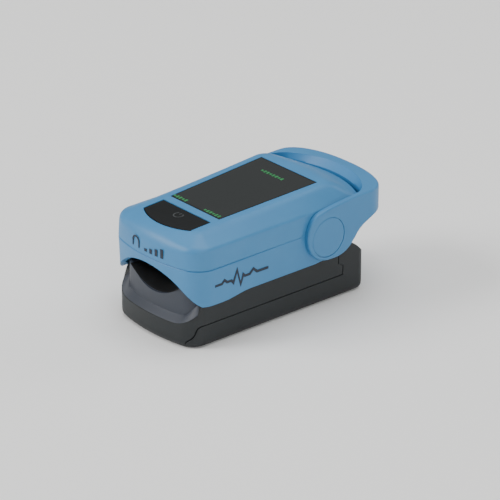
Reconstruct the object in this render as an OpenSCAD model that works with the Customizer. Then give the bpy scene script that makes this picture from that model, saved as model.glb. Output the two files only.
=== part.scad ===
// Fingertip pulse oximeter: a spring-closed clip in two halves.
// Millimetres. +Y runs from the finger opening to the grip at the back, +Z is up.
// The origin is on the surface it stands on, under the middle of its outline.
// Inside the shift() wrapper y is the distance behind the front face.

/* [Overall] */
// Length from the front face to the back of the grip
overall_l = 60; // [58:0.5:62]
// Half the width of the blue upper half
upper_hw = 15.1; // [14.9:0.1:15.2]
// Half the width of the black lower half
lower_hw = 13.5; // [13.3:0.1:13.5]
// Height of the parting line between the two upper shells
parting_z = 19.1; // [19:0.1:19.3]
// Height of the ridge along each side
ridge_z = 24.1; // [23.8:0.1:24.4]
// Height of the top face at the front
top_front_z = 26; // [25.9:0.1:26.3]
// Slope of the top face in degrees
top_slope = 3; // [2.6:0.1:3.2]

/* [Clip] */
// Distance of the hinge axis behind the front face
hinge_d = 39.5; // [39:0.1:40]
// Height of the hinge axis
hinge_z = 17.4; // [17.2:0.1:17.6]
// Radius of a hinge pin
pin_r = 1.5; // [1.3:0.1:1.6]
// Height of the lower edge of the blue skirt
skirt_z = 10.3; // [10.2:0.1:10.5]
// Radius of the front arch
arch_r = 16.9; // [16.7:0.1:17.1]
// Height of the top of the front arch
arch_top_z = 17.6; // [17.4:0.1:17.7]
// Radius of the finger channel in the bed
channel_r = 12; // [11.8:0.1:12.2]
// Height of the bottom of the finger channel
channel_z = 11.3; // [11.3:0.1:11.5]

/* [Lower half] */
// Height of the side panels
panel_z = 12.6; // [12.4:0.1:12.6]
// Height of the seam between the side panels and the battery door
seam_z = 5.3; // [5.1:0.1:5.5]
// Distance of the lower half's back behind the front face
lower_end_d = 53.6; // [53.4:0.1:53.8]
// Diameter of an AAA cell
cell_dia = 10.5; // [10.3:0.1:10.5]
// Length of an AAA cell
cell_l = 44.5; // [44:0.1:44.5]

/* [Face] */
// Half the width of the display window at its back edge
window_hw_back = 9.55; // [9.2:0.05:9.6]
// Half the width of the display window at its front edge
window_hw_front = 8.4; // [8.1:0.05:8.4]
// Half the width of the power button
button_hw = 8.1; // [7.8:0.05:8.2]

/* [Hidden] */
$fn = 64;

far = 80;
wall = 1.25;
front_r = 41;
corner_r = 5.75;
rear_d = 55;
rear_hw = 14.7;
rear_r = 26;
rear_corner_r = 4;
arm_in = 14.75;
arm_out = 15.9;
recess_x = 14.7;
grip_d = 52.2;
grip_power = 0.93;
deck_under_z = 18.5;
spigot_z = 19.8;
channel_axis_z = channel_z + channel_r;
arch_axis_z = arch_top_z - arch_r;
bed_front_d = 1.9;
bed_hw = 12.1;
bed_top_z = 14;
bed_end_d = 36.3;
cell_x = 5.35;
cell_z = 6.25;
can_front_d = 4.3;
nub_l = 0.8;
bridge_d = 51.3;
bay_top_z = 11.6;
screw_x = 11.3;
screw_d = 9;
sensor_d = 18;
window_front_d = 13.96;
window_back_d = 41.65;
button_back_d = 11.66;
button_corner_d = 6.05;
button_bulge = 2.4;
board_z = 22.4;
board_t = 0.8;
switch_d = 8.4;

// Points of a front end: a shallow arc blended into straight sides by corner arcs
function corner_x(hw, rc) = hw - rc;
function corner_rise(hw, r, rc) = sqrt(pow(r - rc, 2) - pow(hw - rc, 2));
function blend_angle(hw, r, rc) = atan2(hw - rc, corner_rise(hw, r, rc));
function half_end(hw, d, r, rc) = let (a = blend_angle(hw, r, rc)) concat(
    [for (i = [0:8]) [r * sin(a * i / 8), d + r - r * cos(a * i / 8)]],
    [for (i = [1:8]) let (b = a + (90 - a) * i / 8)
        [corner_x(hw, rc) + rc * sin(b), d + r - corner_rise(hw, r, rc) - rc * cos(b)]]
);
function flip_x(pts) = [for (i = [len(pts) - 1:-1:1]) [-pts[i][0], pts[i][1]]];
function flip_d(pts, d) = [for (i = [len(pts) - 1:-1:0]) [pts[i][0], 2 * d - pts[i][1]]];
function front_end(hw, d, r, rc) = concat(flip_x(half_end(hw, d, r, rc)), half_end(hw, d, r, rc));
function rear_end(hw, d, r, rc) = flip_d(front_end(hw, d, r, rc), d);

// Plan of the blue half, drawn inset by w
function upper_plan(w) = concat(
    front_end(upper_hw - w, w, front_r - w, corner_r - w),
    rear_end(rear_hw - max(0, w - 0.4), rear_d - w, rear_r - w, rear_corner_r - w * 0.5)
);
// Plan of the black half, drawn inset by w
function lower_plan(w) = concat(
    front_end(lower_hw - w, 0.2 + w, 45 - w, 4.7 - w),
    rear_end(lower_hw - w, lower_end_d - w, 120, 1.6)
);
function bed_plan(w) = concat(
    front_end(bed_hw - w, bed_front_d + w, 40, 4 - w),
    [[bed_hw - w, bed_end_d - w], [w - bed_hw, bed_end_d - w]]
);
function arc(c, r, a0, a1, n) = [for (i = [0:n]) let (a = a0 + (a1 - a0) * i / n)
    c + r * [cos(a), sin(a)]];

module shift() {
    translate([0, -overall_l / 2, 0]) children();
}

// A prism along z
module upright(z0, z1) {
    translate([0, 0, z0]) linear_extrude(height = z1 - z0) children();
}

// A prism across the width whose outline is drawn as [distance from the front, height]
module across(x0, x1) {
    translate([x0, 0, 0]) rotate([90, 0, 90]) linear_extrude(height = x1 - x0) children();
}

// A rod across the width at distance d and height z
module rod(x0, x1, d, z, r) {
    translate([x0, d, z]) rotate([0, 90, 0]) cylinder(h = x1 - x0, r = r);
}

// A rod along the length at x and height z
module bar(d0, d1, x, z, r) {
    translate([x, d1, z]) rotate([90, 0, 0]) cylinder(h = d1 - d0, r = r);
}

module slab(x0, x1, d0, d1, z0, z1) {
    translate([x0, d0, z0]) cube([x1 - x0, d1 - d0, z1 - z0]);
}

module both_sides() {
    children();
    mirror([1, 0, 0]) children();
}

// Stands things on the sloped top face: z = 0 is the face itself
module on_top() {
    translate([0, 0, top_front_z]) rotate([top_slope, 0, 0]) children();
}

// ---- lower half -------------------------------------------------------------

// Side view of the battery door, drawn smaller by g
module door_profile(g) {
    polygon([
        [2 + g, -1], [2 + g, 1.7 - g], [2.7 + g, 2.3 - g], [3.4 + g, 3 - g],
        [3.65 + g, 3.9 - g], [4 + g, 4.8 - g], [4.8 + g, seam_z - g],
        [46.3 + g, seam_z - g], [46.3 + g, 7.8], [44.9 + g, 8.3], [44.9 + g, 14],
        [60, 14], [60, -1]
    ]);
}

module lower_block() {
    intersection() {
        upright(0, panel_z) polygon(lower_plan(0));
        across(-far, far) polygon([
            [-1, 0], [-1, 20], [42, 20], [49, panel_z], [lower_end_d, 8.2],
            [lower_end_d, 1], [lower_end_d - 1, 0]
        ]);
    }
}

// Space above the smile-shaped ledge of the nose, lowered by drop
module above_ledge(drop) {
    translate([0, 6, -drop]) rotate([90, 0, 0]) linear_extrude(height = 10) polygon(concat(
        [[-20, 20], [-13.6, 20]],
        arc([-9.4, 9.8], 4.2, 180, 270, 8),
        arc([9.4, 9.8], 4.2, 270, 360, 8),
        [[13.6, 20], [20, 20]]
    ));
}

module lower_housing() color([0.13, 0.14, 0.15]) {
    shift() difference() {
        union() {
            difference() {
                lower_block();
                across(-far, far) door_profile(-0.15);
                above_ledge(0.4);
                upright(seam_z - 0.2, far) polygon(bed_plan(-0.1));
                upright(-1, bay_top_z) polygon(lower_plan(1.3));
            }
            both_sides() {
                // Flange that holds the battery door's rail
                slab(11.7, 12.4, 8, 44.6, 5.5, 6.2);
                // Tab that the finger bed is screwed to
                slab(10.3, 12.4, screw_d - 1.5, screw_d + 1.5, 9.2, 10.15);
                // Hinge ear
                slab(11.6, 13.2, 37, 42, bay_top_z, hinge_z);
                rod(11.6, 13.2, hinge_d, hinge_z, 2.8);
            }
        }
        both_sides() {
            rod(11, 14, hinge_d, hinge_z, pin_r + 0.05);
            translate([screw_x, screw_d, 5]) cylinder(h = 6, r = 0.6);
        }
    }
}

module finger_bed() color([0.30, 0.32, 0.35]) {
    shift() difference() {
        union() {
            upright(seam_z, bed_top_z) polygon(bed_plan(0));
            slab(-7, 7, 34.6, bed_end_d, 12, 17.2);
            // Flange that lies on the nose's ledge
            difference() {
                intersection() {
                    upright(0, 12) polygon(lower_plan(0.3));
                    above_ledge(0.38);
                    slab(-20, 20, -1, 5.9, 0, 12);
                }
                above_ledge(0);
            }
        }
        // The channel widens towards its mouth
        translate([0, 6.5, channel_axis_z]) rotate([90, 0, 0])
            cylinder(h = 8, r1 = channel_r - 0.02, r2 = channel_r + 1.9);
        upright(-1, 10.2) intersection() {
            polygon(bed_plan(0.6));
            translate([-20, 2.5]) square([40, 40]);
        }
        slab(-20, 20, 6.2, far, -1, 10.2);
        for (s = [-1, 1]) bar(can_front_d - 0.3, far, s * cell_x, cell_z, cell_dia / 2 + 0.08);
        bar(-1, 34.6, 0, channel_axis_z, channel_r);
        translate([0, sensor_d, 5]) cylinder(h = 10, r = 1.9);
        translate([0, sensor_d, channel_z + 0.03]) cylinder(h = 3, r = 2.35);
        both_sides() translate([screw_x, screw_d, 0]) cylinder(h = 12.4, r = 0.6);
    }
}

module lower_finger_pad() color([0.09, 0.09, 0.10]) {
    shift() difference() {
        intersection() {
            bar(6, 34.4, 0, channel_axis_z, channel_r - 0.02);
            slab(-7, 7, 6, 34.4, 5, 14);
        }
        bar(5, 36, 0, channel_axis_z, channel_r - 0.52);
        translate([0, sensor_d, 5]) cylinder(h = 10, r = 2.4);
    }
}

module detector_window() color([0.45, 0.10, 0.12]) {
    shift() translate([0, sensor_d, channel_z + 0.05]) cylinder(h = 0.5, r = 2.3);
}

module photodiode() color([0.10, 0.10, 0.12]) {
    shift() slab(-1.2, 1.2, sensor_d - 1.2, sensor_d + 1.2, 10.1, 11.2);
}

module sensor_board() color([0.10, 0.35, 0.20]) {
    shift() slab(-1.2, 1.2, 9, 36, 9.7, 10.05);
}

// A cell along the length, with its cap at the front or at the back
module cell(cap_d, can_d0, can_d1) {
    bar(can_d0, can_d1, 0, cell_z, cell_dia / 2);
    bar(min(cap_d, can_d0), max(cap_d, can_d1), 0, cell_z, 1.9);
}

module battery_cell_left() color([0.72, 0.74, 0.76]) {
    shift() translate([-cell_x, 0, 0])
        cell(can_front_d - nub_l, can_front_d, can_front_d + cell_l - nub_l);
}

module battery_cell_right() color([0.72, 0.74, 0.76]) {
    shift() translate([cell_x, 0, 0])
        cell(can_front_d + cell_l, can_front_d, can_front_d + cell_l - nub_l);
}

// Conical contact spring of n turns, its wide end at the origin
module contact_spring(n) {
    rotate([90, 0, 0]) for (i = [0:n - 1]) translate([0, 0, 0.3 + 0.65 * i])
        rotate_extrude() translate([2.1 - 0.2 * i, 0]) circle(r = 0.33, $fn = 24);
}

module front_contacts() color([0.80, 0.80, 0.78]) {
    shift() {
        both_sides() slab(3, 7, 3.15, 3.45, 2.6, 10);
        translate([cell_x, 3.45, cell_z]) rotate([0, 0, 180]) contact_spring(1);
    }
}

module bed_screws() color([0.60, 0.60, 0.62]) {
    shift() both_sides() translate([screw_x, screw_d, 0]) {
        translate([0, 0, 8.65]) cylinder(h = 0.5, r = 0.85);
        translate([0, 0, 9]) cylinder(h = 3.3, r = 0.55);
    }
}

// Wire path of a torsion spring: a leg under the roof side, the coil, a leg under the deck
spring_r = 2.2;
spring_wire_r = 0.28;
spring_turns = 4;
spring_steps = 80;
spring_x0 = 8.4;
spring_pitch = 0.64;
function coil_point(t) = let (a = -90 - (spring_turns * 360 + 200) * t)
    [spring_x0 + spring_pitch * spring_turns * t, hinge_d + spring_r * cos(a),
     hinge_z + spring_r * sin(a)];
function spring_path() = concat(
    [[spring_x0, hinge_d + 7, 13], [spring_x0, hinge_d + 3.5, 14.1]],
    [for (i = [0:spring_steps]) coil_point(i / spring_steps)]
);

// Solid of a round wire along a path
function ring(pts, i, r) = let (
    a = pts[max(i - 1, 0)],
    b = pts[min(i + 1, len(pts) - 1)],
    t = (b - a) / norm(b - a),
    u0 = cross(t, abs(t[0]) > 0.9 ? [0, 1, 0] : [1, 0, 0]),
    u = u0 / norm(u0),
    v = cross(t, u)
) [for (k = [0:7]) pts[i] + r * (cos(45 * k) * u + sin(45 * k) * v)];

module wire(pts, r) {
    n = len(pts);
    polyhedron(
        points = [for (i = [0:n - 1]) each ring(pts, i, r)],
        faces = concat(
            [[for (k = [0:7]) k]],
            [for (i = [0:n - 2], k = [0:7])
                [i * 8 + k, (i + 1) * 8 + k, (i + 1) * 8 + (k + 1) % 8, i * 8 + (k + 1) % 8]],
            [[for (k = [7:-1:0]) (n - 1) * 8 + k]]
        )
    );
}

module torsion_springs() color([0.66, 0.67, 0.69]) {
    shift() both_sides() wire(spring_path(), spring_wire_r);
}

// ---- battery door -----------------------------------------------------------

module battery_door() color([0.12, 0.13, 0.14]) {
    shift() difference() {
        union() {
            difference() {
                intersection() {
                    lower_block();
                    across(-far, far) door_profile(0);
                }
                // Battery bay, whose roof follows the sloped back
                intersection() {
                    upright(0.9, bay_top_z) polygon(lower_plan(1.3));
                    across(-far, far) polygon([
                        [-1, 0], [-1, 20], [48.2, 20], [48.2, bay_top_z], [52.6, 7.4], [52.6, 0]
                    ]);
                }
                // Lets the front corners pass the cells
                slab(-9.4, 9.4, 0, 8, 0.9, 10);
            }
            // Rails that slide over the housing's flanges
            both_sides() slab(10.75, 11.4, 10, 46.5, 0.5, 7.1);
            both_sides() slab(10.75, 11.95, 10, 46.5, 6.4, 7.1);
        }
        // Grip ribs under the back
        for (i = [0:3]) slab(-6, 6, 44 + 1.6 * i, 44.8 + 1.6 * i, -1, 0.3);
    }
}

module bridge_contact() color([0.80, 0.80, 0.78]) {
    shift() {
        slab(-8, 8, bridge_d, bridge_d + 0.4, 2.6, 8);
        translate([-cell_x, bridge_d, cell_z]) contact_spring(4);
        translate([cell_x, bridge_d, cell_z]) contact_spring(3);
    }
}

// ---- upper half -------------------------------------------------------------

// Room for the round arm ends and the arms of the grip in the sides of the shells
module arm_recess() {
    both_sides() {
        rod(recess_x, far, 40.6, 18.6, 8.2);
        slab(recess_x, far, 40.6, far, 0, 25.2);
    }
}

module mid_cover() color([0.36, 0.56, 0.70]) {
    shift() difference() {
        union() {
            difference() {
                intersection() {
                    upright(skirt_z, parting_z) polygon(upper_plan(0));
                    across(-far, far) polygon([
                        [-1, skirt_z - 1], [9.9, skirt_z - 1], [10, skirt_z],
                        [17.5, 11.2], [37, 11.2], [42, 11.8], [44.6, 12.9],
                        [46.6, 14.9], [48.6, 17], [50.8, 18.2], [60, 18.2], [60, 30], [-1, 30]
                    ]);
                }
                upright(0, deck_under_z) polygon(upper_plan(wall));
            }
            upright(parting_z - 0.2, spigot_z) polygon(upper_plan(wall + 0.1));
        }
        bar(-1, 6, 0, arch_axis_z, arch_r);
        arm_recess();
        // Room for the ears and springs round the hinge, and bores for the pins
        both_sides() {
            rod(7.8, 13.85, hinge_d, hinge_z, 3.2);
            slab(7.7, 9.2, hinge_d, 45, 18, 21);
            rod(10, 20, hinge_d, hinge_z, pin_r + 0.02);
            for (d = [8.5, 47.5]) translate([10.9, d, 10]) cylinder(h = 12, r = 0.95);
            for (d = [8.5, 47.5]) translate([10.9, d, 10]) cylinder(h = 9.2, r = 1.7);
        }
        translate([0, sensor_d, 10]) cylinder(h = 12, r = 3);
        slab(-4.2, 4.2, 39, 40.2, 10, 22);
    }
}

module top_slice(w) {
    polygon(concat(
        arc([0, 3.2 + 15 + w], 15, -118, -62, 8),
        [[10.1 - w, 6.2 + w], [11.8 - w, 44.5 - w], [w - 11.8, 44.5 - w], [w - 10.1, 6.2 + w]]
    ));
}

module top_body(w) {
    hull() {
        upright(parting_z + 0.02 - w, parting_z + 0.03) polygon(upper_plan(w * 1.05));
        upright(ridge_z - 0.6 - w * 0.7, ridge_z - w * 0.7) polygon(upper_plan(w * 1.05));
        on_top() upright(-0.01 - w, -w) top_slice(w * 0.6);
    }
}

module window_outline(g) {
    polygon([
        [window_hw_front + g, window_front_d - g], [window_hw_back + g, window_back_d + g],
        [-window_hw_back - g, window_back_d + g], [-window_hw_front - g, window_front_d - g]
    ]);
}

module button_outline(g) {
    r = (button_hw * button_hw + button_bulge * button_bulge) / (2 * button_bulge);
    a = asin(button_hw / r);
    polygon(concat(
        arc([0, button_corner_d - button_bulge + r], r + g, -90 - a, -90 + a, 12),
        [[button_hw + g, button_back_d + g], [-button_hw - g, button_back_d + g]]
    ));
}

module top_cover() color([0.38, 0.58, 0.72]) {
    shift() difference() {
        union() {
            difference() {
                top_body(0);
                top_body(wall);
            }
            both_sides() for (d = [8.5, 47.5]) intersection() {
                translate([10.9, d, spigot_z + 0.05]) cylinder(h = 6, r = 1.9);
                top_body(0.3);
            }
        }
        on_top() {
            upright(-1, 5) window_outline(0.05);
            upright(-6, 5) window_outline(-0.8);
            upright(-4, 5) button_outline(0.15);
        }
        arm_recess();
        both_sides() for (d = [8.5, 47.5])
            translate([10.9, d, spigot_z - 1]) cylinder(h = 3.9, r = 0.75);
    }
}

module press_bail() color([0.34, 0.54, 0.69]) {
    shift() difference() {
        intersection() {
            upright(10, 26) difference() {
                polygon(concat(
                    [[arm_out, 33]],
                    // A slightly squared half ellipse
                    [for (i = [0:24]) let (a = 180 * i / 24) [
                        arm_out * sign(cos(a)) * pow(abs(cos(a)), grip_power),
                        grip_d + (overall_l - grip_d) * pow(sin(a), grip_power)
                    ]],
                    [[-arm_out, 33]]
                ));
                polygon(concat(
                    [[-arm_in, 30], [arm_in, 30]],
                    rear_end(arm_in, rear_d + 0.4, rear_r + 0.4, rear_corner_r + 0.3)
                ));
            }
            across(-far, far) polygon(concat(
                [[61, 19.4], [54.6, 19.1], [51.9, 18.1], [49.4, 17], [48, 15.4], [46.9, 13.6]],
                arc([41.9, 18.36], 6.67, -35, -90, 5),
                arc([40.2, 18.36], 6.67, -90, -220, 12),
                [[36.7, 23.7], [39.7, 24.35], [48.7, 25.3], [61, 25.4]]
            ));
        }
        both_sides() {
            rod(15.25, 20, hinge_d + 0.1, hinge_z, 4.75);
            rod(14, 20, hinge_d, hinge_z, pin_r + 0.02);
        }
    }
}

module pivot_caps() color([0.36, 0.56, 0.71]) {
    shift() both_sides() difference() {
        rod(15.27, 15.85, hinge_d + 0.1, hinge_z, 4.6);
        rod(15, 15.45, hinge_d, hinge_z, pin_r + 0.05);
    }
}

module hinge_pins() color([0.70, 0.71, 0.73]) {
    shift() both_sides() rod(8, 15.4, hinge_d, hinge_z, pin_r);
}

module display_window() color([0.16, 0.17, 0.17]) {
    shift() on_top() upright(-0.95, 0) window_outline(0);
}

module display_module() color([0.20, 0.22, 0.22]) {
    shift() slab(-7.2, 7.2, 15.2, 40.6, board_z + board_t + 0.1, board_z + board_t + 1.6);
}

module main_board() color([0.08, 0.33, 0.20]) {
    shift() slab(-8.7, 8.7, 5.6, 44, board_z, board_z + board_t);
}

module processor_chip() color([0.08, 0.08, 0.09]) {
    shift() slab(-3.5, 3.5, 25, 32, board_z - 1.1, board_z - 0.02);
}

module tact_switch() color([0.20, 0.20, 0.21]) {
    shift() difference() {
        slab(-2.2, 2.2, switch_d - 2.2, switch_d + 2.2, board_z + board_t + 0.02, 24.4);
        translate([0, switch_d, board_z + board_t + 0.3]) cylinder(h = 3, r = 1.1);
    }
}

module switch_plunger() color([0.85, 0.85, 0.82]) {
    shift() translate([0, switch_d, 24.1]) cylinder(h = 0.95, r = 1);
}

module power_button() color([0.12, 0.13, 0.14]) {
    shift() on_top() {
        upright(-1.3, 0) button_outline(0);
    }
}

module upper_finger_pad() color([0.08, 0.08, 0.09]) {
    shift() difference() {
        intersection() {
            upright(14.4, deck_under_z - 0.03) polygon(concat(
                front_end(12.9, 1.9, front_r - 2, 3.6), [[12.9, 34], [-12.9, 34]]
            ));
            slab(-12.9, 12.9, 0, 34, 14, 20);
        }
        bar(-1, 36, 0, 3.3, 14.6);
        translate([0, sensor_d, 10]) cylinder(h = 12, r = 3);
        both_sides() translate([10.9, 8.5, 10]) cylinder(h = 12, r = 1.9);
    }
}

module emitter_window() color([0.45, 0.10, 0.12]) {
    shift() translate([0, sensor_d, 17.95]) cylinder(h = 0.6, r = 2.9);
}

module light_emitter() color([0.85, 0.80, 0.75]) {
    shift() slab(-1.8, 1.8, sensor_d - 1.4, sensor_d + 1.4, 18.6, spigot_z);
}

module emitter_board() color([0.10, 0.35, 0.20]) {
    shift() slab(-5, 5, sensor_d - 4.5, sensor_d + 4.5, spigot_z + 0.02, spigot_z + 0.8);
}

module flex_cable() color([0.70, 0.42, 0.12]) {
    shift() slab(-3.5, 3.5, 39.4, 39.6, 12.65, board_z - 0.02);
}

module cover_screws() color([0.60, 0.60, 0.62]) {
    shift() both_sides() for (d = [8.5, 47.5]) translate([10.9, d, 0]) {
        translate([0, 0, 18.5]) cylinder(h = 0.68, r = 1.5);
        translate([0, 0, 18.5]) cylinder(h = 4, r = 0.73);
    }
}

lower_housing();
finger_bed();
lower_finger_pad();
detector_window();
photodiode();
sensor_board();
battery_cell_left();
battery_cell_right();
front_contacts();
bed_screws();
torsion_springs();
battery_door();
bridge_contact();
mid_cover();
top_cover();
press_bail();
pivot_caps();
hinge_pins();
display_window();
display_module();
main_board();
processor_chip();
tact_switch();
upper_finger_pad();
emitter_window();
light_emitter();
emitter_board();
flex_cable();
cover_screws();
power_button();
switch_plunger();
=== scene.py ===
"""Fingertip pulse oximeter: its shells, grip, face, finger rest and finishes, built round the CAD frame."""

import logging
import math
from collections.abc import Callable, Iterable, Mapping, Sequence
from dataclasses import dataclass, field
from enum import Enum
from typing import Protocol

import bmesh
import bpy
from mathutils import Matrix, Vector
from mathutils.kdtree import KDTree


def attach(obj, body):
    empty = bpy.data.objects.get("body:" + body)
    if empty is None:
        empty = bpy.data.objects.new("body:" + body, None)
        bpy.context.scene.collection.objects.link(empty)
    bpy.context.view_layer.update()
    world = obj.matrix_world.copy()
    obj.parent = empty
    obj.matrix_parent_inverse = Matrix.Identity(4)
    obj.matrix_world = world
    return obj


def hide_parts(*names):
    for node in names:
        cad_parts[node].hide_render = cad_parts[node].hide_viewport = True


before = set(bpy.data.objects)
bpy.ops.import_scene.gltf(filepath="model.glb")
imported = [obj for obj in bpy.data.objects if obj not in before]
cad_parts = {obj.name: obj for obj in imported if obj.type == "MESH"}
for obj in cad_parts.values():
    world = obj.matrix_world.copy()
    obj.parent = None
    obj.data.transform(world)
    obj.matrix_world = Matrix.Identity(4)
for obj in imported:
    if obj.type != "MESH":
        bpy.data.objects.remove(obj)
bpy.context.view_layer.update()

LOG = logging.getLogger("oximeter")
MM = 0.001
Point = tuple[float, float, float]
Pair = tuple[float, float]
Outline = list[Pair]
Ring = list[Point]
Piece = bpy.types.Object
Material = bpy.types.Material


class Body(Enum):
    """The rigid bodies of the clip."""

    BASE = "base"
    DOOR = "door"
    JAW = "jaw"
    BUTTON = "button"


class Cut(Enum):
    """What a cutting tool leaves of a piece."""

    AWAY = "DIFFERENCE"
    INSIDE = "INTERSECT"
    JOINED = "UNION"


class Axis(Enum):
    """Directions that a prism or a rod runs along."""

    X = "x"
    Y = "y"
    Z = "z"


# ---------------------------------------------------------------------------
# Sizes, in millimetres. d is the distance behind the front face of the shells.
# ---------------------------------------------------------------------------


@dataclass(frozen=True)
class ClipSizes:
    """Driving sizes of the clip, in millimetres, close to those of the CAD design."""

    length: float = 60.0
    upper_half_width: float = 15.1
    lower_half_width: float = 13.5
    wall: float = 1.25
    parting: float = 19.1
    arch_top: float = 17.6
    ridge: float = 24.1
    top_front: float = 26.0
    top_slope: float = 3.0
    skirt: float = 10.4
    hinge_d: float = 39.5
    hinge_z: float = 17.4
    seam: float = 5.3
    panel: float = 12.6
    bay_top: float = 11.6
    rear: float = 55.0
    lower_rear: float = 53.6
    arm_inside: float = 14.75
    arm_outside: float = 15.9
    recess: float = 14.67
    pin_radius: float = 1.52
    screw_x: float = 10.9
    screw_front: float = 8.5
    screw_back: float = 47.5
    bed_screw_x: float = 11.3
    bed_screw_d: float = 9.0
    sensor_d: float = 18.0
    channel_radius: float = 12.0
    channel_axis: float = 23.3
    front_radius: float = 41.0
    bed_half: float = 12.1
    bed_front: float = 1.9
    bed_rear: float = 36.3


SIZES = ClipSizes()


def circle(steps: int) -> list[float]:
    """Lists equal angles round a full turn, in radians."""
    return [2 * math.pi * i / steps for i in range(steps)]


def row(x: float, d: float, z: float) -> Point:
    """Turns millimetres behind the front face into the frame's metres.

    Args:
        x: Distance to the side.
        d: Distance behind the front face.
        z: Height.

    Returns:
        The point in the frame.
    """
    return (x * MM, (d - SIZES.length / 2) * MM, z * MM)


def on_top(x: float, d: float, rise: float) -> Point:
    """Gives the frame point that is a rise above the sloped top face.

    Args:
        x: Distance to the side.
        d: Distance along the slope from the front face.
        rise: Height above the face, square to it.

    Returns:
        The point in the frame.
    """
    slope = math.radians(SIZES.top_slope)
    return row(
        x,
        d * math.cos(slope) - rise * math.sin(slope),
        SIZES.top_front + d * math.sin(slope) + rise * math.cos(slope),
    )


def top_height(d: float) -> float:
    """Height of the sloped top face at a distance behind the front face."""
    return SIZES.top_front + d * math.tan(math.radians(SIZES.top_slope))


def mix(a: float, b: float, share: float) -> float:
    """Returns the value a share of the way from a to b."""
    return a + (b - a) * share


def arc(cx: float, cy: float, radius: float, start: float, end: float, steps: int) -> Outline:
    """Lists points along an arc.

    Args:
        cx: First coordinate of the centre.
        cy: Second coordinate of the centre.
        radius: Radius of the arc.
        start: First angle in degrees.
        end: Last angle in degrees.
        steps: Number of chords.

    Returns:
        The points, ends included.
    """
    angles = [math.radians(mix(start, end, i / steps)) for i in range(steps + 1)]
    return [(cx + radius * math.cos(a), cy + radius * math.sin(a)) for a in angles]


@dataclass(frozen=True)
class RoundedEnd:
    """One end of a plan outline: a shallow arc blended into straight sides.

    Attributes:
        half_width: Half the width between the sides.
        tip: Distance of the arc's middle behind the front face.
        radius: Radius of the shallow arc.
        corner: Radius of the blend into the side.
        facing: 1 for a front end and -1 for a rear end.
        arc_steps: Number of chords in half the shallow arc.
        corner_steps: Number of chords in the blend.
    """

    half_width: float
    tip: float
    radius: float
    corner: float
    facing: int = 1
    arc_steps: int = 12
    corner_steps: int = 12

    def half(self) -> Outline:
        """Lists the points from the middle of the arc to the right side."""
        across = self.half_width - self.corner
        rise = math.sqrt((self.radius - self.corner) ** 2 - across**2)
        blend = math.atan2(across, rise)
        shallow = [blend * i / self.arc_steps for i in range(self.arc_steps + 1)]
        tight = [mix(blend, math.pi / 2, i / self.corner_steps) for i in range(1, self.corner_steps + 1)]
        points = [(self.radius * math.sin(a), self.radius - self.radius * math.cos(a)) for a in shallow]
        middle = self.radius - rise
        points += [(across + self.corner * math.sin(a), middle - self.corner * math.cos(a)) for a in tight]
        return [(x, self.tip + self.facing * d) for x, d in points]


def full_plan(front: RoundedEnd, rear: RoundedEnd, side_steps: int = 10) -> Outline:
    """Joins two ends into a closed outline that always has the same number of points.

    Args:
        front: The front end.
        rear: The rear end.
        side_steps: Number of chords along each side.

    Returns:
        The outline, from the middle of the front round the right side.
    """
    first, last = front.half(), rear.half()[::-1]
    (x0, d0), (x1, d1) = first[-1], last[0]
    side = [(mix(x0, x1, i / side_steps), mix(d0, d1, i / side_steps)) for i in range(1, side_steps)]
    right = first + side + last
    left = [(-x, d) for x, d in right[1:-1]][::-1]
    return right + left


def upper_plan(inset: float) -> Outline:
    """Outline of the blue half, drawn inset."""
    return full_plan(
        RoundedEnd(SIZES.upper_half_width - inset, inset, SIZES.front_radius - inset, 5.75 - inset),
        RoundedEnd(14.7 - max(0.0, inset - 0.4), SIZES.rear - inset, 26 - inset, 4 - inset / 2, facing=-1),
    )


def lower_plan(inset: float) -> Outline:
    """Outline of the black half, drawn inset."""
    half = SIZES.lower_half_width - inset
    return full_plan(
        RoundedEnd(half, 0.2 + inset, 45 - inset, 4.7 - inset),
        RoundedEnd(half, SIZES.lower_rear - inset, 120, max(0.3, 2.2 - inset), facing=-1),
    )


def skirt_draft(z: float) -> float:
    """How far the skirt is drawn in at a height below the parting line."""
    return 0.035 * (SIZES.parting - z)


def bed_plan(inset: float) -> Outline:
    """Outline of the finger bed, drawn inset."""
    return full_plan(
        RoundedEnd(SIZES.bed_half - inset, SIZES.bed_front + inset, 40, 4 - inset),
        RoundedEnd(SIZES.bed_half - inset, SIZES.bed_rear - inset, 400, 0.6, facing=-1),
    )


# ---------------------------------------------------------------------------
# Modelling
# ---------------------------------------------------------------------------


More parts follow.
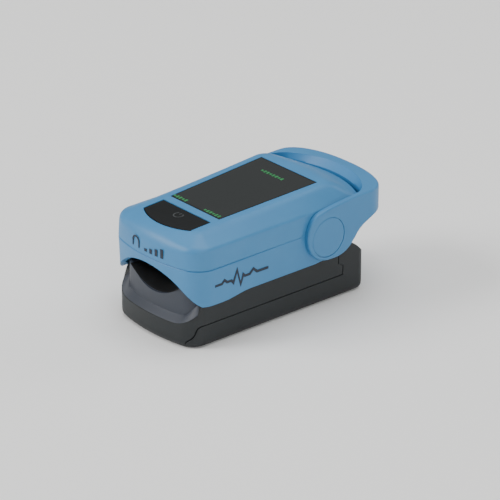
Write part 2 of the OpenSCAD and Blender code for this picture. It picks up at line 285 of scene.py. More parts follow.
class Workbench:
    """Hand tools for closed solids: lofts, prisms, rods, cuts and rounded edges."""

    def clear(self) -> None:
        """Leaves edit mode and deselects everything."""
        if bpy.context.object and bpy.context.object.mode != "OBJECT":
            bpy.ops.object.mode_set(mode="OBJECT")
        bpy.ops.object.select_all(action="DESELECT")

    def pick(self, piece: Piece) -> None:
        """Makes one piece the only selected and active one.

        Args:
            piece: The piece to work on.
        """
        self.clear()
        piece.select_set(True)
        bpy.context.view_layer.objects.active = piece

    def loft(self, name: str, rings: Sequence[Ring]) -> Piece:
        """Extrudes a closed solid through rings that have the same number of points.

        Args:
            name: The solid's name.
            rings: The rings in order, in the frame's metres.

        Returns:
            The solid, with a flat face on its first and last ring.
        """
        self.clear()
        bpy.ops.mesh.primitive_circle_add(vertices=len(rings[0]), radius=1, fill_type="NGON")
        piece = bpy.context.object
        piece.name = piece.data.name = name
        bpy.ops.object.mode_set(mode="EDIT")
        mesh = bmesh.from_edit_mesh(piece.data)
        mesh.verts.ensure_lookup_table()
        for vert, place in zip(mesh.verts, rings[0]):
            vert.co = place
        bmesh.update_edit_mesh(piece.data)
        for before, after in zip(rings, rings[1:]):
            bpy.ops.mesh.extrude_region_move(TRANSFORM_OT_translate={"value": (0, 0, 0)})
            mesh = bmesh.from_edit_mesh(piece.data)
            places = KDTree(len(before))
            for index, place in enumerate(before):
                places.insert(place, index)
            places.balance()
            for vert in [v for v in mesh.verts if v.select]:
                vert.co = after[places.find(vert.co)[1]]
            bmesh.update_edit_mesh(piece.data)
        bpy.ops.mesh.select_all(action="SELECT")
        bpy.ops.mesh.normals_make_consistent(inside=False)
        bpy.ops.object.mode_set(mode="OBJECT")
        return piece

    def prism(
        self, name: str, outline: Iterable[Pair], low: float, high: float, axis: Axis = Axis.Z
    ) -> Piece:
        """Makes a straight prism from an outline in millimetres.

        Args:
            name: The solid's name.
            outline: [x, d] points for Z, [d, z] points for X, and [x, z] points for Y.
            low: Where it starts along the axis.
            high: Where it ends along the axis.
            axis: The direction that it runs along.

        Returns:
            The prism.
        """
        points = list(outline)
        place: dict[Axis, Callable[[float, float, float], Point]] = {
            Axis.X: lambda u, v, w: row(w, u, v),
            Axis.Y: lambda u, v, w: row(u, w, v),
            Axis.Z: lambda u, v, w: row(u, v, w),
        }
        return self.loft(name, [[place[axis](u, v, w) for u, v in points] for w in (low, high)])

    def slab(self, name: str, low: Point, high: Point) -> Piece:
        """Makes a box between two corners given as [x, d, z] in millimetres."""
        outline = [(low[0], low[1]), (high[0], low[1]), (high[0], high[1]), (low[0], high[1])]
        return self.prism(name, outline, low[2], high[2])

    def rod(
        self, name: str, start: Point, length: float, radius: float, axis: Axis, sides: int = 96
    ) -> Piece:
        """Makes a round rod.

        Args:
            name: The solid's name.
            start: The middle of its first end, as [x, d, z] in millimetres.
            length: Its length.
            radius: Its radius.
            axis: The direction that it runs along.
            sides: How many sides stand for the round.

        Returns:
            The rod.
        """
        turn = {Axis.X: (0, math.pi / 2, 0), Axis.Y: (-math.pi / 2, 0, 0), Axis.Z: (0, 0, 0)}[axis]
        step = {Axis.X: (1, 0, 0), Axis.Y: (0, 1, 0), Axis.Z: (0, 0, 1)}[axis]
        middle = row(*(s + length / 2 * k for s, k in zip(start, step)))
        self.clear()
        bpy.ops.mesh.primitive_cylinder_add(
            vertices=sides, radius=radius * MM, depth=length * MM, location=middle, rotation=turn
        )
        piece = bpy.context.object
        piece.name = piece.data.name = name
        bpy.ops.object.transform_apply(location=True, rotation=True, scale=True)
        return piece

    def modify(self, piece: Piece, kind: str, **settings: object) -> None:
        """Adds a modifier to a piece and applies it.

        Args:
            piece: The piece to work on.
            kind: The modifier's type.
            settings: The modifier's settings.
        """
        self.pick(piece)
        change = piece.modifiers.new(kind, kind)
        for key, value in settings.items():
            setattr(change, key, value)
        bpy.ops.object.modifier_apply(modifier=change.name)

    def cut(self, piece: Piece, tool: Piece, leaves: Cut = Cut.AWAY) -> Piece:
        """Cuts a piece with a tool, or joins the two, and uses the tool up.

        Args:
            piece: The piece to work on.
            tool: The solid that cuts it.
            leaves: What is left.

        Returns:
            The piece.
        """
        self.modify(piece, "BOOLEAN", operation=leaves.value, solver="EXACT", object=tool)
        bpy.data.objects.remove(tool)
        return piece

    def hinge_rods(
        self, piece: Piece, near: float, far: float, radius: float,
        leaves: Cut = Cut.AWAY, behind: float = 0.0, sides: int = 96,
    ) -> None:
        """Cuts a piece with a rod about the hinge's axis on either side.

        Args:
            piece: The piece to work on.
            near: Distance of the rods' inner ends from the middle plane, in millimetres.
            far: Distance of their outer ends.
            radius: Their radius.
            leaves: What is left.
            behind: How far behind the axis they lie.
            sides: How many sides stand for the round.
        """
        for start in (-far, near):
            place = (start, SIZES.hinge_d + behind, SIZES.hinge_z)
            self.cut(piece, self.rod("hinge_rod", place, far - near, radius, Axis.X, sides), leaves)

    def upright_rods(
        self, piece: Piece, x: float, d: float, low: float, high: float, radius: float,
        leaves: Cut = Cut.AWAY, sides: int = 40,
    ) -> None:
        """Cuts a piece with an upright rod on either side.

        Args:
            piece: The piece to work on.
            x: Distance of the rods from the middle plane, in millimetres.
            d: Distance behind the front face.
            low: Height of their lower ends.
            high: Height of their upper ends.
            radius: Their radius.
            leaves: What is left.
            sides: How many sides stand for the round.
        """
        for place in ((-x, d, low), (x, d, low)):
            self.cut(piece, self.rod("upright", place, high - low, radius, Axis.Z, sides), leaves)

    def side_slabs(self, piece: Piece, low: Point, high: Point, leaves: Cut = Cut.AWAY) -> None:
        """Cuts a piece with a box on either side.

        Args:
            piece: The piece to work on.
            low: Corner of the right box nearest to the middle, the front and the floor.
            high: The opposite corner.
            leaves: What is left.
        """
        for side in (-1, 1):
            near, far = sorted((side * low[0], side * high[0]))
            self.cut(piece, self.slab("side_slab", (near, *low[1:]), (far, *high[1:])), leaves)

    def joined(self, name: str, parts: Sequence[Piece]) -> Piece:
        """Joins separate solids into one piece.

        Args:
            name: The piece's name.
            parts: The solids.

        Returns:
            The piece.
        """
        self.clear()
        for part in parts:
            part.select_set(True)
        bpy.context.view_layer.objects.active = parts[0]
        bpy.ops.object.join()
        piece = bpy.context.object
        piece.name = piece.data.name = name
        return piece

    def mirror(self, piece: Piece) -> None:
        """Adds the mirror image of a solid on the other side of the middle plane."""
        self.modify(piece, "MIRROR", use_axis=(True, False, False), use_mirror_merge=False)
        bpy.ops.object.mode_set(mode="EDIT")
        bpy.ops.mesh.select_all(action="SELECT")
        bpy.ops.mesh.normals_make_consistent(inside=False)
        bpy.ops.object.mode_set(mode="OBJECT")

    def tidy(self, piece: Piece, merge: float = 0.008) -> None:
        """Merges doubled points and dissolves the flat scraps that cuts leave.

        Args:
            piece: The piece to clean.
            merge: Points closer than this many millimetres become one.
        """
        self.pick(piece)
        bpy.ops.object.mode_set(mode="EDIT")
        bpy.ops.mesh.select_all(action="SELECT")
        bpy.ops.mesh.remove_doubles(threshold=merge * MM)
        bpy.ops.mesh.dissolve_degenerate(threshold=0.004 * MM)
        bpy.ops.mesh.dissolve_limited(angle_limit=math.radians(0.4))
        bpy.ops.object.mode_set(mode="OBJECT")

    def round_edges(
        self, piece: Piece, width: float, segments: int = 3, sharper_than: float = 38
    ) -> None:
        """Rounds a piece's sharp edges and shades it smooth.

        Args:
            piece: The piece to finish.
            width: Width of the rounding in millimetres.
            segments: Number of facets across the rounding.
            sharper_than: Edges that turn by more than this many degrees are rounded.
        """
        self.tidy(piece)
        limit = {"limit_method": "ANGLE", "angle_limit": math.radians(sharper_than)}
        self.modify(piece, "BEVEL", width=width * MM, segments=segments, **limit)
        self.shade(piece)

    def shade(self, piece: Piece, angle: float = 34) -> None:
        """Shades a piece smooth up to an angle in degrees and keeps its large faces flat."""
        self.pick(piece)
        bpy.ops.object.shade_smooth_by_angle(angle=math.radians(angle))
        self.modify(piece, "WEIGHTED_NORMAL", keep_sharp=True, weight=60)


BENCH = Workbench()


# ---------------------------------------------------------------------------
# Shader maths
# ---------------------------------------------------------------------------


def operator(operation: str, swapped: bool = False) -> Callable[["Signal", "Signal | float"], "Signal"]:
    """Makes a Python operator of an operation of the Math node.

    Args:
        operation: The node's operation.
        swapped: Whether the operator's own signal stands on the right.

    Returns:
        The method.
    """

    def combine(signal: "Signal", other: "Signal | float" = 0.0) -> "Signal":
        """Adds the Math node."""
        pair = (other, signal) if swapped else (signal, other)
        return signal.paint.maths(operation, *pair)

    return combine


class Signal:
    """A shader socket that takes part in Python expressions."""

    __add__ = operator("ADD")
    __radd__ = operator("ADD", swapped=True)
    __sub__ = operator("SUBTRACT")
    __rsub__ = operator("SUBTRACT", swapped=True)
    __mul__ = operator("MULTIPLY")
    __rmul__ = operator("MULTIPLY", swapped=True)
    __truediv__ = operator("DIVIDE")
    __lt__ = operator("LESS_THAN")
    __abs__ = operator("ABSOLUTE")

    def __init__(self, paint: "Paint", socket: bpy.types.NodeSocket) -> None:
        """Keeps the socket and the tree that it belongs to."""
        self.paint = paint
        self.socket = socket


Colour = tuple[float, float, float]


def linear(colour: Colour) -> tuple[float, float, float, float]:
    """Turns a display colour into the linear one that a shader takes.

    Args:
        colour: Red, green and blue from 0 to 1 as a screen shows them.

    Returns:
        The linear colour with full alpha.
    """
    parts = [c / 12.92 if c <= 0.04045 else ((c + 0.055) / 1.055) ** 2.4 for c in colour]
    return (parts[0], parts[1], parts[2], 1.0)


class Paint:
    """One material's node tree."""

    def __init__(self, name: str) -> None:
        """Starts a material with an empty Principled shader.

        Args:
            name: The material's name.
        """
        self.material = bpy.data.materials.new(name)
        self.material.use_nodes = True
        self.tree = self.material.node_tree
        self.shader = self.tree.nodes["Principled BSDF"]
        self.place = Signal(self, self.node("ShaderNodeTexCoord").outputs["Object"])

    def node(
        self,
        kind: str,
        settings: Mapping[str, object] | None = None,
        values: Mapping[str | int, Signal | float | Sequence[float]] | None = None,
    ) -> bpy.types.Node:
        """Adds a node.

        Args:
            kind: The node's type.
            settings: Its settings, which are set first.
            values: Values or links of its input sockets.

        Returns:
            The node.
        """
        made = self.tree.nodes.new(kind)
        for key, value in (settings or {}).items():
            setattr(made, key, value)
        for key, value in (values or {}).items():
            if isinstance(value, Signal):
                self.tree.links.new(value.socket, made.inputs[key])
            else:
                made.inputs[key].default_value = value
        return made

    def maths(self, operation: str, a: Signal | float, b: Signal | float) -> Signal:
        """Adds a Math node of two values and returns its result."""
        return Signal(self, self.node("ShaderNodeMath", {"operation": operation}, {0: a, 1: b}).outputs[0])

    def noise(self, scale: float, detail: float = 3.0, stretch: Point = (1, 1, 1)) -> Signal:
        """Makes noise on the piece's own coordinates.

        Args:
            scale: Number of blobs in a metre.
            detail: Number of finer layers.
            stretch: Factor on each axis.

        Returns:
            A value from 0 to 1.
        """
        place = self.node("ShaderNodeMapping", {}, {"Vector": self.place, "Scale": stretch})
        made = self.node(
            "ShaderNodeTexNoise",
            {},
            {"Vector": Signal(self, place.outputs[0]), "Scale": scale, "Detail": detail, "Roughness": 0.55},
        )
        return Signal(self, made.outputs[0])

    def blend(
        self, share: Signal | float, a: Signal | Sequence[float], b: Signal | Sequence[float]
    ) -> Signal:
        """Blends two colours by a share; 6, 7 and 2 are the Mix node's colour sockets."""
        made = self.node("ShaderNodeMix", {"data_type": "RGBA"}, {0: share, 6: a, 7: b})
        return Signal(self, made.outputs[2])

    def band(self, value: Signal, low: float, high: float) -> Signal:
        """Fades from 0 at low to 1 at high."""
        limits = {"Value": value, "From Min": low, "From Max": high}
        made = self.node("ShaderNodeMapRange", {"clamp": True}, limits)
        return Signal(self, made.outputs[0])

    def along(self, axis: Axis) -> Signal:
        """Gives the piece's own coordinate along an axis, in metres."""
        split = self.node("ShaderNodeSeparateXYZ", {}, {0: self.place})
        return Signal(self, split.outputs["XYZ".index(axis.name)])

    def behind_front(self) -> Signal:
        """Gives the distance behind the front face, in millimetres."""
        return self.along(Axis.Y) / MM + SIZES.length / 2

    def bump(self, height: Signal, depth: float, strength: float = 1.0) -> None:
        """Raises the surface by a height signal.

        Args:
            height: The signal, from 0 to 1.
            depth: The full height in metres.
            strength: Share of the effect.
        """
        made = self.node("ShaderNodeBump", {}, {"Height": height, "Distance": depth, "Strength": strength})
        self.link("Normal", Signal(self, made.outputs[0]))

    def link(self, socket: str, signal: Signal) -> None:
        """Feeds one of the shader's sockets."""
        self.tree.links.new(signal.socket, self.shader.inputs[socket])

    def fix(self, **values: float) -> None:
        """Sets the shader's own sockets, written with underscores for spaces."""
        for key, value in values.items():
            self.shader.inputs[key.replace("_", " ")].default_value = value


# ---------------------------------------------------------------------------
# Finishes
# ---------------------------------------------------------------------------


class Finish(Protocol):
    """What the paint shop needs of a finish."""

    name: str
    slot: str

    def make(self) -> Material:
        """Builds the material."""


@dataclass(frozen=True)
class Plastic:
    """Moulded plastic with a spark-eroded grain.

    Attributes:
        name: The material's name.
        slot: The record's material slot; not used.
        colour: Display colour.
        shade: Display colour of its darker, handled patches.
        roughness: Middle roughness.
        spread: How far roughness varies.
        grain: Grains in a metre.
        depth: Depth of the grain in metres.
        specular: Strength of the reflection.
    """

    name: str
    slot: str
    colour: Colour
    shade: Colour
    roughness: float = 0.45
    spread: float = 0.08
    grain: float = 5200.0
    depth: float = 0.000012
    specular: float = 0.5

    def make(self) -> Material:
        """Builds the material."""
        paint = Paint(self.name)
        cloud = paint.noise(95, 4)
        smear = paint.noise(420, 5, (1, 0.45, 1))
        grain = paint.noise(self.grain, 2)
        patches = paint.band(cloud * 0.7 + smear * 0.3, 0.36, 0.66)
        paint.link("Base Color", paint.blend(patches, linear(self.shade), linear(self.colour)))
        paint.link("Roughness", self.roughness + (smear - 0.5) * self.spread + (grain - 0.5) * 0.04)
        paint.bump(grain * 0.8 + smear * 0.2, self.depth, 0.55)
        paint.fix(Specular_IOR_Level=self.specular)
        return paint.material


@dataclass(frozen=True)
class Rubber:
    """Soft silicone rubber with dust in its pores."""

    name: str
    slot: str
    colour: Colour

    def make(self) -> Material:
        """Builds the material."""
        paint = Paint(self.name)
        pores = paint.noise(3600, 4)
        dust = paint.band(paint.noise(260, 5), 0.52, 0.78)
        pale = tuple(min(1.0, c + 0.07) for c in self.colour)
        paint.link("Base Color", paint.blend(dust * 0.5, linear(self.colour), linear(pale)))
        paint.link("Roughness", 0.66 + dust * 0.14)
        paint.bump(pores, 0.00002, 0.6)
        paint.fix(Specular_IOR_Level=0.35)
        return paint.material


@dataclass(frozen=True)
class Lens:
    """Smoked lens over a dark display, with a faint panel edge and wiping marks.

    Attributes:
        name: The material's name.
        slot: The record's material slot; not used.
        colour: Display colour over the lit panel.
        rim: Display colour round the panel.
        roughness: Middle roughness.
        front: Where the panel starts, in millimetres behind the front face.
        back: Where the panel ends.
        half: Half the panel's width at the front face, which its sides are drawn out from.
        taper: How much wider each half grows in a millimetre.
    """

    name: str
    slot: str
    colour: Colour
    rim: Colour
    roughness: float = 0.24
    front: float = 14.2
    back: float = 41.4
    half: float = 7.66
    taper: float = 0.0427

    def make(self) -> Material:
        """Builds the material."""
        paint = Paint(self.name)
        wipes = paint.noise(160, 5, (1, 0.2, 1))
        d = paint.behind_front()
        x = abs(paint.along(Axis.X) / MM)
        across = paint.band(self.half + self.taper * d - x, 0.0, 0.35)
        front_edge = paint.band(d, self.front, self.front + 0.4)
        edge = across * front_edge * (1 - paint.band(d, self.back - 0.4, self.back))
        paint.link("Base Color", paint.blend(edge, linear(self.rim), linear(self.colour)))
        paint.link("Roughness", self.roughness + (wipes - 0.5) * 0.1)
        paint.bump(wipes, 0.000006, 0.3)
        paint.fix(Specular_IOR_Level=0.25)
        return paint.material


@dataclass(frozen=True)
class Ink:
    """Printed ink or a lit segment, slightly uneven."""

    name: str
    slot: str
    colour: Colour
    glow: float = 0.0

    def make(self) -> Material:
        """Builds the material."""
        paint = Paint(self.name)
        worn = paint.band(paint.noise(1500, 4), 0.3, 0.62)
        faded = tuple(c * 0.8 for c in self.colour)
        ink = paint.blend(worn, linear(faded), linear(self.colour))
        paint.link("Base Color", ink)
        paint.link("Roughness", 0.5 + worn * 0.08)
        if self.glow:
            paint.link("Emission Color", ink)
            paint.fix(Emission_Strength=self.glow)
        return paint.material


@dataclass(frozen=True)
class Metal:
    """Bare or plated metal, drawn or stamped along one axis."""

    name: str
    slot: str
    colour: Colour
    roughness: float = 0.3
    stretch: Point = (1, 0.08, 1)

    def make(self) -> Material:
        """Builds the material."""
        paint = Paint(self.name)
        lines = paint.noise(2600, 3, self.stretch)
        stain = paint.band(paint.noise(300, 5), 0.4, 0.75)
        dull = tuple(c * 0.82 for c in self.colour)
        paint.link("Base Color", paint.blend(stain, linear(self.colour), linear(dull)))
        paint.link("Roughness", self.roughness + (lines - 0.5) * 0.14 + stain * 0.06)
        paint.bump(lines, 0.000006, 0.5)
        paint.fix(Metallic=1.0)
        return paint.material


@dataclass(frozen=True)
class Board:
    """Circuit board: solder mask with buried tracks and round pads."""

    name: str
    slot: str
    colour: Colour
    track: Colour = (0.20, 0.46, 0.26)
    gold: Colour = (0.80, 0.72, 0.45)

    def make(self) -> Material:
        """Builds the material."""
        paint = Paint(self.name)
        values = {"Vector": paint.place, "Scale": 520.0, "Randomness": 0.4}
        cells = paint.node("ShaderNodeTexVoronoi", {"distance": "MANHATTAN"}, values)
        reach = Signal(paint, cells.outputs["Distance"])
        tracks = paint.band(abs(reach - 0.42), 0.09, 0.03)
        pads = reach < 0.12
        mask = paint.blend(tracks, linear(self.colour), linear(self.track))
        paint.link("Base Color", paint.blend(pads, mask, linear(self.gold)))
        paint.link("Roughness", 0.35 - tracks * 0.06 + pads * 0.05)
        paint.link("Metallic", pads * 0.8)
        paint.bump(tracks, 0.00003, 0.7)
        return paint.material


@dataclass(frozen=True)
class CellWrap:
    """Shrink-wrapped battery cell: plain sleeve with one pale stripe, and bare ends."""

    name: str
    slot: str
    sleeve: Colour
    bare: Colour = (0.74, 0.75, 0.76)
    stripe: Colour = (0.78, 0.62, 0.24)

    def make(self) -> Material:
        """Builds the material."""
        paint = Paint(self.name)
        d = paint.behind_front()
        sleeve = paint.band(d, 5.2, 5.3) * (1 - paint.band(d, 46.9, 47.0))
        stripe = paint.band(d, 36.0, 36.1) * (1 - paint.band(d, 39.0, 39.1))
        scuff = paint.noise(700, 4)
        wrap = paint.blend(stripe, linear(self.sleeve), linear(self.stripe))
        paint.link("Base Color", paint.blend(sleeve, linear(self.bare), wrap))
        paint.link("Metallic", 1 - sleeve * 0.75)
        paint.link("Roughness", 0.28 + scuff * 0.14)
        paint.bump(scuff, 0.00001, 0.4)
        return paint.material


# Plastics take a colour and its darker shade, then the roughness.
BLUE = Plastic("blue_shell", "blue_plastic", (0.250, 0.520, 0.715), (0.236, 0.502, 0.698), 0.47)
BLUE_GRIP = Plastic("blue_grip", "blue_plastic", (0.244, 0.512, 0.708), (0.230, 0.494, 0.690), 0.43)
BLACK = Plastic("black_shell", "black_plastic", (0.088, 0.112, 0.122), (0.078, 0.098, 0.108), 0.52)
GREY = Plastic("grey_bed", "grey_plastic", (0.205, 0.226, 0.268), (0.190, 0.210, 0.250), 0.50)
BUTTON = Plastic(
    "dark_button", "button_black", (0.072, 0.084, 0.090), (0.064, 0.076, 0.082), 0.48, specular=0.25
)
CHIP = Plastic("chip_resin", "chip_black", (0.10, 0.10, 0.11), (0.08, 0.08, 0.09), 0.6, grain=2400)
PALE = Plastic("pale_plunger", "button_black", (0.82, 0.81, 0.77), (0.76, 0.75, 0.71), 0.5)
PAD = Rubber("pad_rubber", "soft_rubber", (0.014, 0.016, 0.017))
SCREEN = Lens("display_lens", "dark_lens", (0.165, 0.178, 0.178), (0.110, 0.120, 0.122))
TINT = Plastic(
    "red_tint", "tinted_window", (0.34, 0.07, 0.09), (0.28, 0.05, 0.07), 0.12, 0.03, depth=0.000002
)
SEGMENT = Ink("lit_segment", "dark_lens", (0.16, 0.50, 0.28), 0.15)
NAVY_INK = Ink("navy_ink", "blue_plastic", (0.090, 0.150, 0.225))
ICON_INK = Ink("icon_ink", "button_black", (0.25, 0.265, 0.27))
STEEL = Metal("bright_steel", "screw_steel", (0.66, 0.67, 0.69), 0.26)
NICKEL = Metal("nickel_contact", "plated_steel", (0.80, 0.79, 0.75), 0.2)
GREEN_BOARD = Board("green_board", "board_green", (0.07, 0.29, 0.16))
AMBER = Plastic("amber_flex", "flex_amber", (0.66, 0.39, 0.13), (0.58, 0.33, 0.10), 0.25, grain=900)
CELL = CellWrap("cell_wrap", "cell_metal", (0.16, 0.17, 0.19))


class PaintShop:
    """Makes each finish once and puts it on pieces."""

    def __init__(self) -> None:
        """Starts with no finish made."""
        self.made: dict[str, Material] = {}

    def coat(self, piece: Piece, finish: Finish) -> None:
        """Puts a finish on a piece in place of whatever it has.

        Args:
            piece: A new piece or a CAD node.
            finish: One of the finishes above.
        """
        if finish.name not in self.made:
            self.made[finish.name] = finish.make()
        piece.data.materials.clear()
        piece.data.materials.append(self.made[finish.name])

    def hand_over(
        self, piece: Piece, finish: Finish, body: Body, replaces: Sequence[str] = ()
    ) -> Piece:
        """Coats a new piece, fixes it to its body and hides the CAD nodes that it stands for.

        Args:
            piece: The finished piece.
            finish: Its finish.
            body: The body that it moves with.
            replaces: The CAD nodes that it stands for.

        Returns:
            The piece.
        """
        self.coat(piece, finish)
        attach(piece, body.value)
        if replaces:
            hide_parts(*replaces)
        LOG.info("%s: %d faces on %s", piece.name, len(piece.data.polygons), body.value)
        return piece


SHOP = PaintShop()


# ---------------------------------------------------------------------------
# Upper half
# ---------------------------------------------------------------------------


def soften(corner: Point, before: Point, after: Point, reach: float, steps: int) -> list[Point]:
    """Rounds one corner of a profile.

    Args:
        corner: The sharp corner.
        before: The profile's point before it.
        after: The profile's point after it.
        reach: How far from the corner the rounding starts, in metres.
        steps: Number of chords.

    Returns:
        The points that take the corner's place.
    """
    middle, first, last = Vector(corner), Vector(before), Vector(after)
    start = middle + (first - middle).normalized() * min(reach, (first - middle).length * 0.48)
    end = middle + (last - middle).normalized() * min(reach, (last - middle).length * 0.48)
    points = []
    for i in range(steps + 1):
        t = i / steps
        points.append(tuple(start * (1 - t) ** 2 + middle * 2 * t * (1 - t) + end * t**2))
    return points


@dataclass
class UpperShells:
    """The two blue shells of the upper half."""

    arc_steps: int = 12
    corner_steps: int = 12
    side_steps: int = 10
    top_wall: float = 1.3
    front_softness: float = 2.1
    side_softness: float = 0.55
    rear_softness: float = 1.5
    brow_softness: float = 1.3
    side_brow: float = 1.7
    rear_brow: float = 3.2
    ridge_inset: float = 0.28
    groove: float = 0.22
    front_wall: float = 1.75
    arch_half: float = 14.05
    recess_d: float = 40.6
    recess_z: float = 18.6
    recess_radius: float = 8.2
    recess_top: float = 25.3
    recess_depth: float = 3.0

    def zones(self) -> list[float]:
        """Gives each outline point its zone: 0 at the front, 1 on a side, 2 at the rear."""
        middle = self.arc_steps // 2
        right = [0.0] * middle
        right += [i / (middle + self.corner_steps) for i in range(1, middle + self.corner_steps + 2)]
        right += [1.0] * (self.side_steps - 1)
        right += [1 + i / (self.corner_steps + 2) for i in range(self.corner_steps)]
        right += [2.0] * (self.arc_steps + 1)
        return right + right[1:-1][::-1]

    def top_outline(self, inset: float) -> Outline:
        """Outline of the flat top face, with as many points as the plan."""
        front = RoundedEnd(10.1 - inset, 3.1 + inset, 15, 1.7)
        rear = RoundedEnd(11.75 - inset, 45.4 - inset, 60, 2.6, facing=-1)
        return full_plan(front, rear)

    def ridge_height(self, d: float) -> float:
        """Height of the ridge, which falls a little at the very back."""
        return SIZES.ridge - 0.5 * max(0.0, (d - 46) / 9) ** 2

    def outside(self) -> Piece:
        """Builds the outside of the top cover as one lofted solid."""
        plans = (upper_plan(0), upper_plan(self.groove), upper_plan(self.ridge_inset), self.top_outline(0))
        profiles: list[Ring] = []
        for (x, d), (gx, gd), (rx, rd), (tx, td), zone in zip(*plans, self.zones()):
            foot = row(x, d, SIZES.parting + self.groove)
            ridge = row(rx, rd, self.ridge_height(d))
            brow = row(tx, td, top_height(td))
            inner_d = mix(td, 25, 0.18)
            inner = row(tx * 0.82, inner_d, top_height(inner_d))
            if zone <= 1:
                ridge_reach = mix(self.front_softness, self.side_softness, zone)
                brow_reach = mix(self.brow_softness, self.side_brow, zone)
            else:
                ridge_reach = mix(self.side_softness, self.rear_softness, zone - 1)
                brow_reach = mix(self.side_brow, self.rear_brow, zone - 1)
            profiles.append(
                [row(gx, gd, SIZES.parting + 0.03), foot]
                + soften(ridge, foot, brow, ridge_reach * MM, 7)
                + soften(brow, ridge, inner, brow_reach * MM, 6)
            )
        return BENCH.loft("top_cover_shell", [list(ring) for ring in zip(*profiles)])

    def inside(self) -> Piece:
        """Builds the hollow of the top cover."""
        plan, top = upper_plan(self.top_wall), self.top_outline(0.75)
        rings = [[row(x, d, z) for x, d in plan] for z in (SIZES.parting - 2, SIZES.ridge - 1.1)]
        rings.append([row(x, d, top_height(d) - self.top_wall) for x, d in top])
        return BENCH.loft("hollow", rings)

    def arm_recess(self, piece: Piece) -> None:
        """Sinks the sides where the arms of the grip lie.

        Args:
            piece: A blue shell.
        """
        low, high = SIZES.recess, SIZES.recess + self.recess_depth
        for start in (-high, low):
            place = (start, self.recess_d, self.recess_z)
            BENCH.cut(piece, BENCH.rod("round", place, self.recess_depth, self.recess_radius, Axis.X, 128))
        BENCH.side_slabs(piece, (low, self.recess_d, 5), (high, SIZES.length, self.recess_top))

    def top_cover(self) -> None:
        """Builds the sloped top cover with its display and button openings."""
        piece = BENCH.cut(self.outside(), self.inside())
        face = Face()
        BENCH.cut(piece, face.tilted("recess", face.window_outline(0.06), -1.05, 3))
        BENCH.cut(piece, face.tilted("light", face.window_outline(-0.9), -4, 3))
        BENCH.cut(piece, face.tilted("key_hole", face.button_outline(0.14), -4, 3))
        self.arm_recess(piece)
        for d in (SIZES.screw_front, SIZES.screw_back):
            BENCH.upright_rods(piece, SIZES.screw_x, d, 19.85, 24.25, 1.9, Cut.JOINED, 48)
            BENCH.upright_rods(piece, SIZES.screw_x, d, 18, 22.7, 0.75, sides=32)
        BENCH.round_edges(piece, 0.16, 2)
        SHOP.hand_over(piece, BLUE, Body.JAW, ["top_cover"])

    def skirt_profile(self) -> Outline:
        """Side view of what the mid cover fills, as [d, z] points."""
        lobe = [(-1, 0), (9.6, 0), (11.2, 0.08), (12.8, 0.3), (14.4, 0.58), (16.0, 0.8), (17.6, 0.9)]
        lobe += [(37, 0.9)]
        rear = [(42, 11.8), (44.6, 12.9), (46.6, 14.9), (48.6, 17), (50.8, 18.2), (60, 18.2)]
        return [(d, SIZES.skirt + rise) for d, rise in lobe] + rear + [(60, 25), (-1, 25)]

    def arch(self) -> Piece:
        """Builds what the front arch takes away; it falls towards its back."""
        rings = []
        for d, drop in ((-1, 0), (0.8, 0), (2.8, 0.6), (6, 1.6)):
            top = SIZES.arch_top - drop
            rise = top - SIZES.skirt
            radius = (self.arch_half**2 + rise**2) / (2 * rise)
            middle = top - radius
            rings.append([row(radius * math.cos(a), d, middle + radius * math.sin(a)) for a in circle(256)])
        return BENCH.loft("arch", rings)

    def mid_cover(self) -> None:
        """Builds the skirt with its front arch, deck and hinge bores."""
        levels = ((SIZES.skirt - 0.6, 0.0), (SIZES.parting - self.groove, 0.0), (SIZES.parting, self.groove))
        rings = [[row(x, d, z) for x, d in upper_plan(skirt_draft(z) + drawn)] for z, drawn in levels]
        piece = BENCH.loft("mid_cover_shell", rings)
        front_radius = SIZES.front_radius - self.front_wall
        front = RoundedEnd(SIZES.upper_half_width - SIZES.wall, self.front_wall, front_radius, 4.2)
        rear = RoundedEnd(13.85, SIZES.rear - SIZES.wall, 24.75, 3.4, facing=-1)
        BENCH.cut(piece, BENCH.prism("hollow", full_plan(front, rear), 5, 18.5))
        BENCH.cut(piece, BENCH.prism("side_view", self.skirt_profile(), -20, 20, Axis.X), Cut.INSIDE)
        BENCH.cut(piece, self.arch())
        self.arm_recess(piece)
        BENCH.hinge_rods(piece, 7.8, 13.85, 3.2)
        BENCH.hinge_rods(piece, 10, 20, SIZES.pin_radius, sides=48)
        BENCH.side_slabs(piece, (7.7, SIZES.hinge_d, 18), (9.2, 45, 21))
        for d in (SIZES.screw_front, SIZES.screw_back):
            BENCH.upright_rods(piece, SIZES.screw_x, d, 10, 22, 0.95)
            BENCH.upright_rods(piece, SIZES.screw_x, d, 10, 19.2, 1.7)
        BENCH.cut(piece, BENCH.rod("light", (0, SIZES.sensor_d, 10), 12, 3, Axis.Z, 64))
        BENCH.cut(piece, BENCH.slab("ribbon", (-4.2, 39, 10), (4.2, 40.2, 22)))
        BENCH.round_edges(piece, 0.2)
        SHOP.hand_over(piece, BLUE, Body.JAW, ["mid_cover"])

    def build(self) -> None:
        """Builds both shells."""
        self.top_cover()
        self.mid_cover()


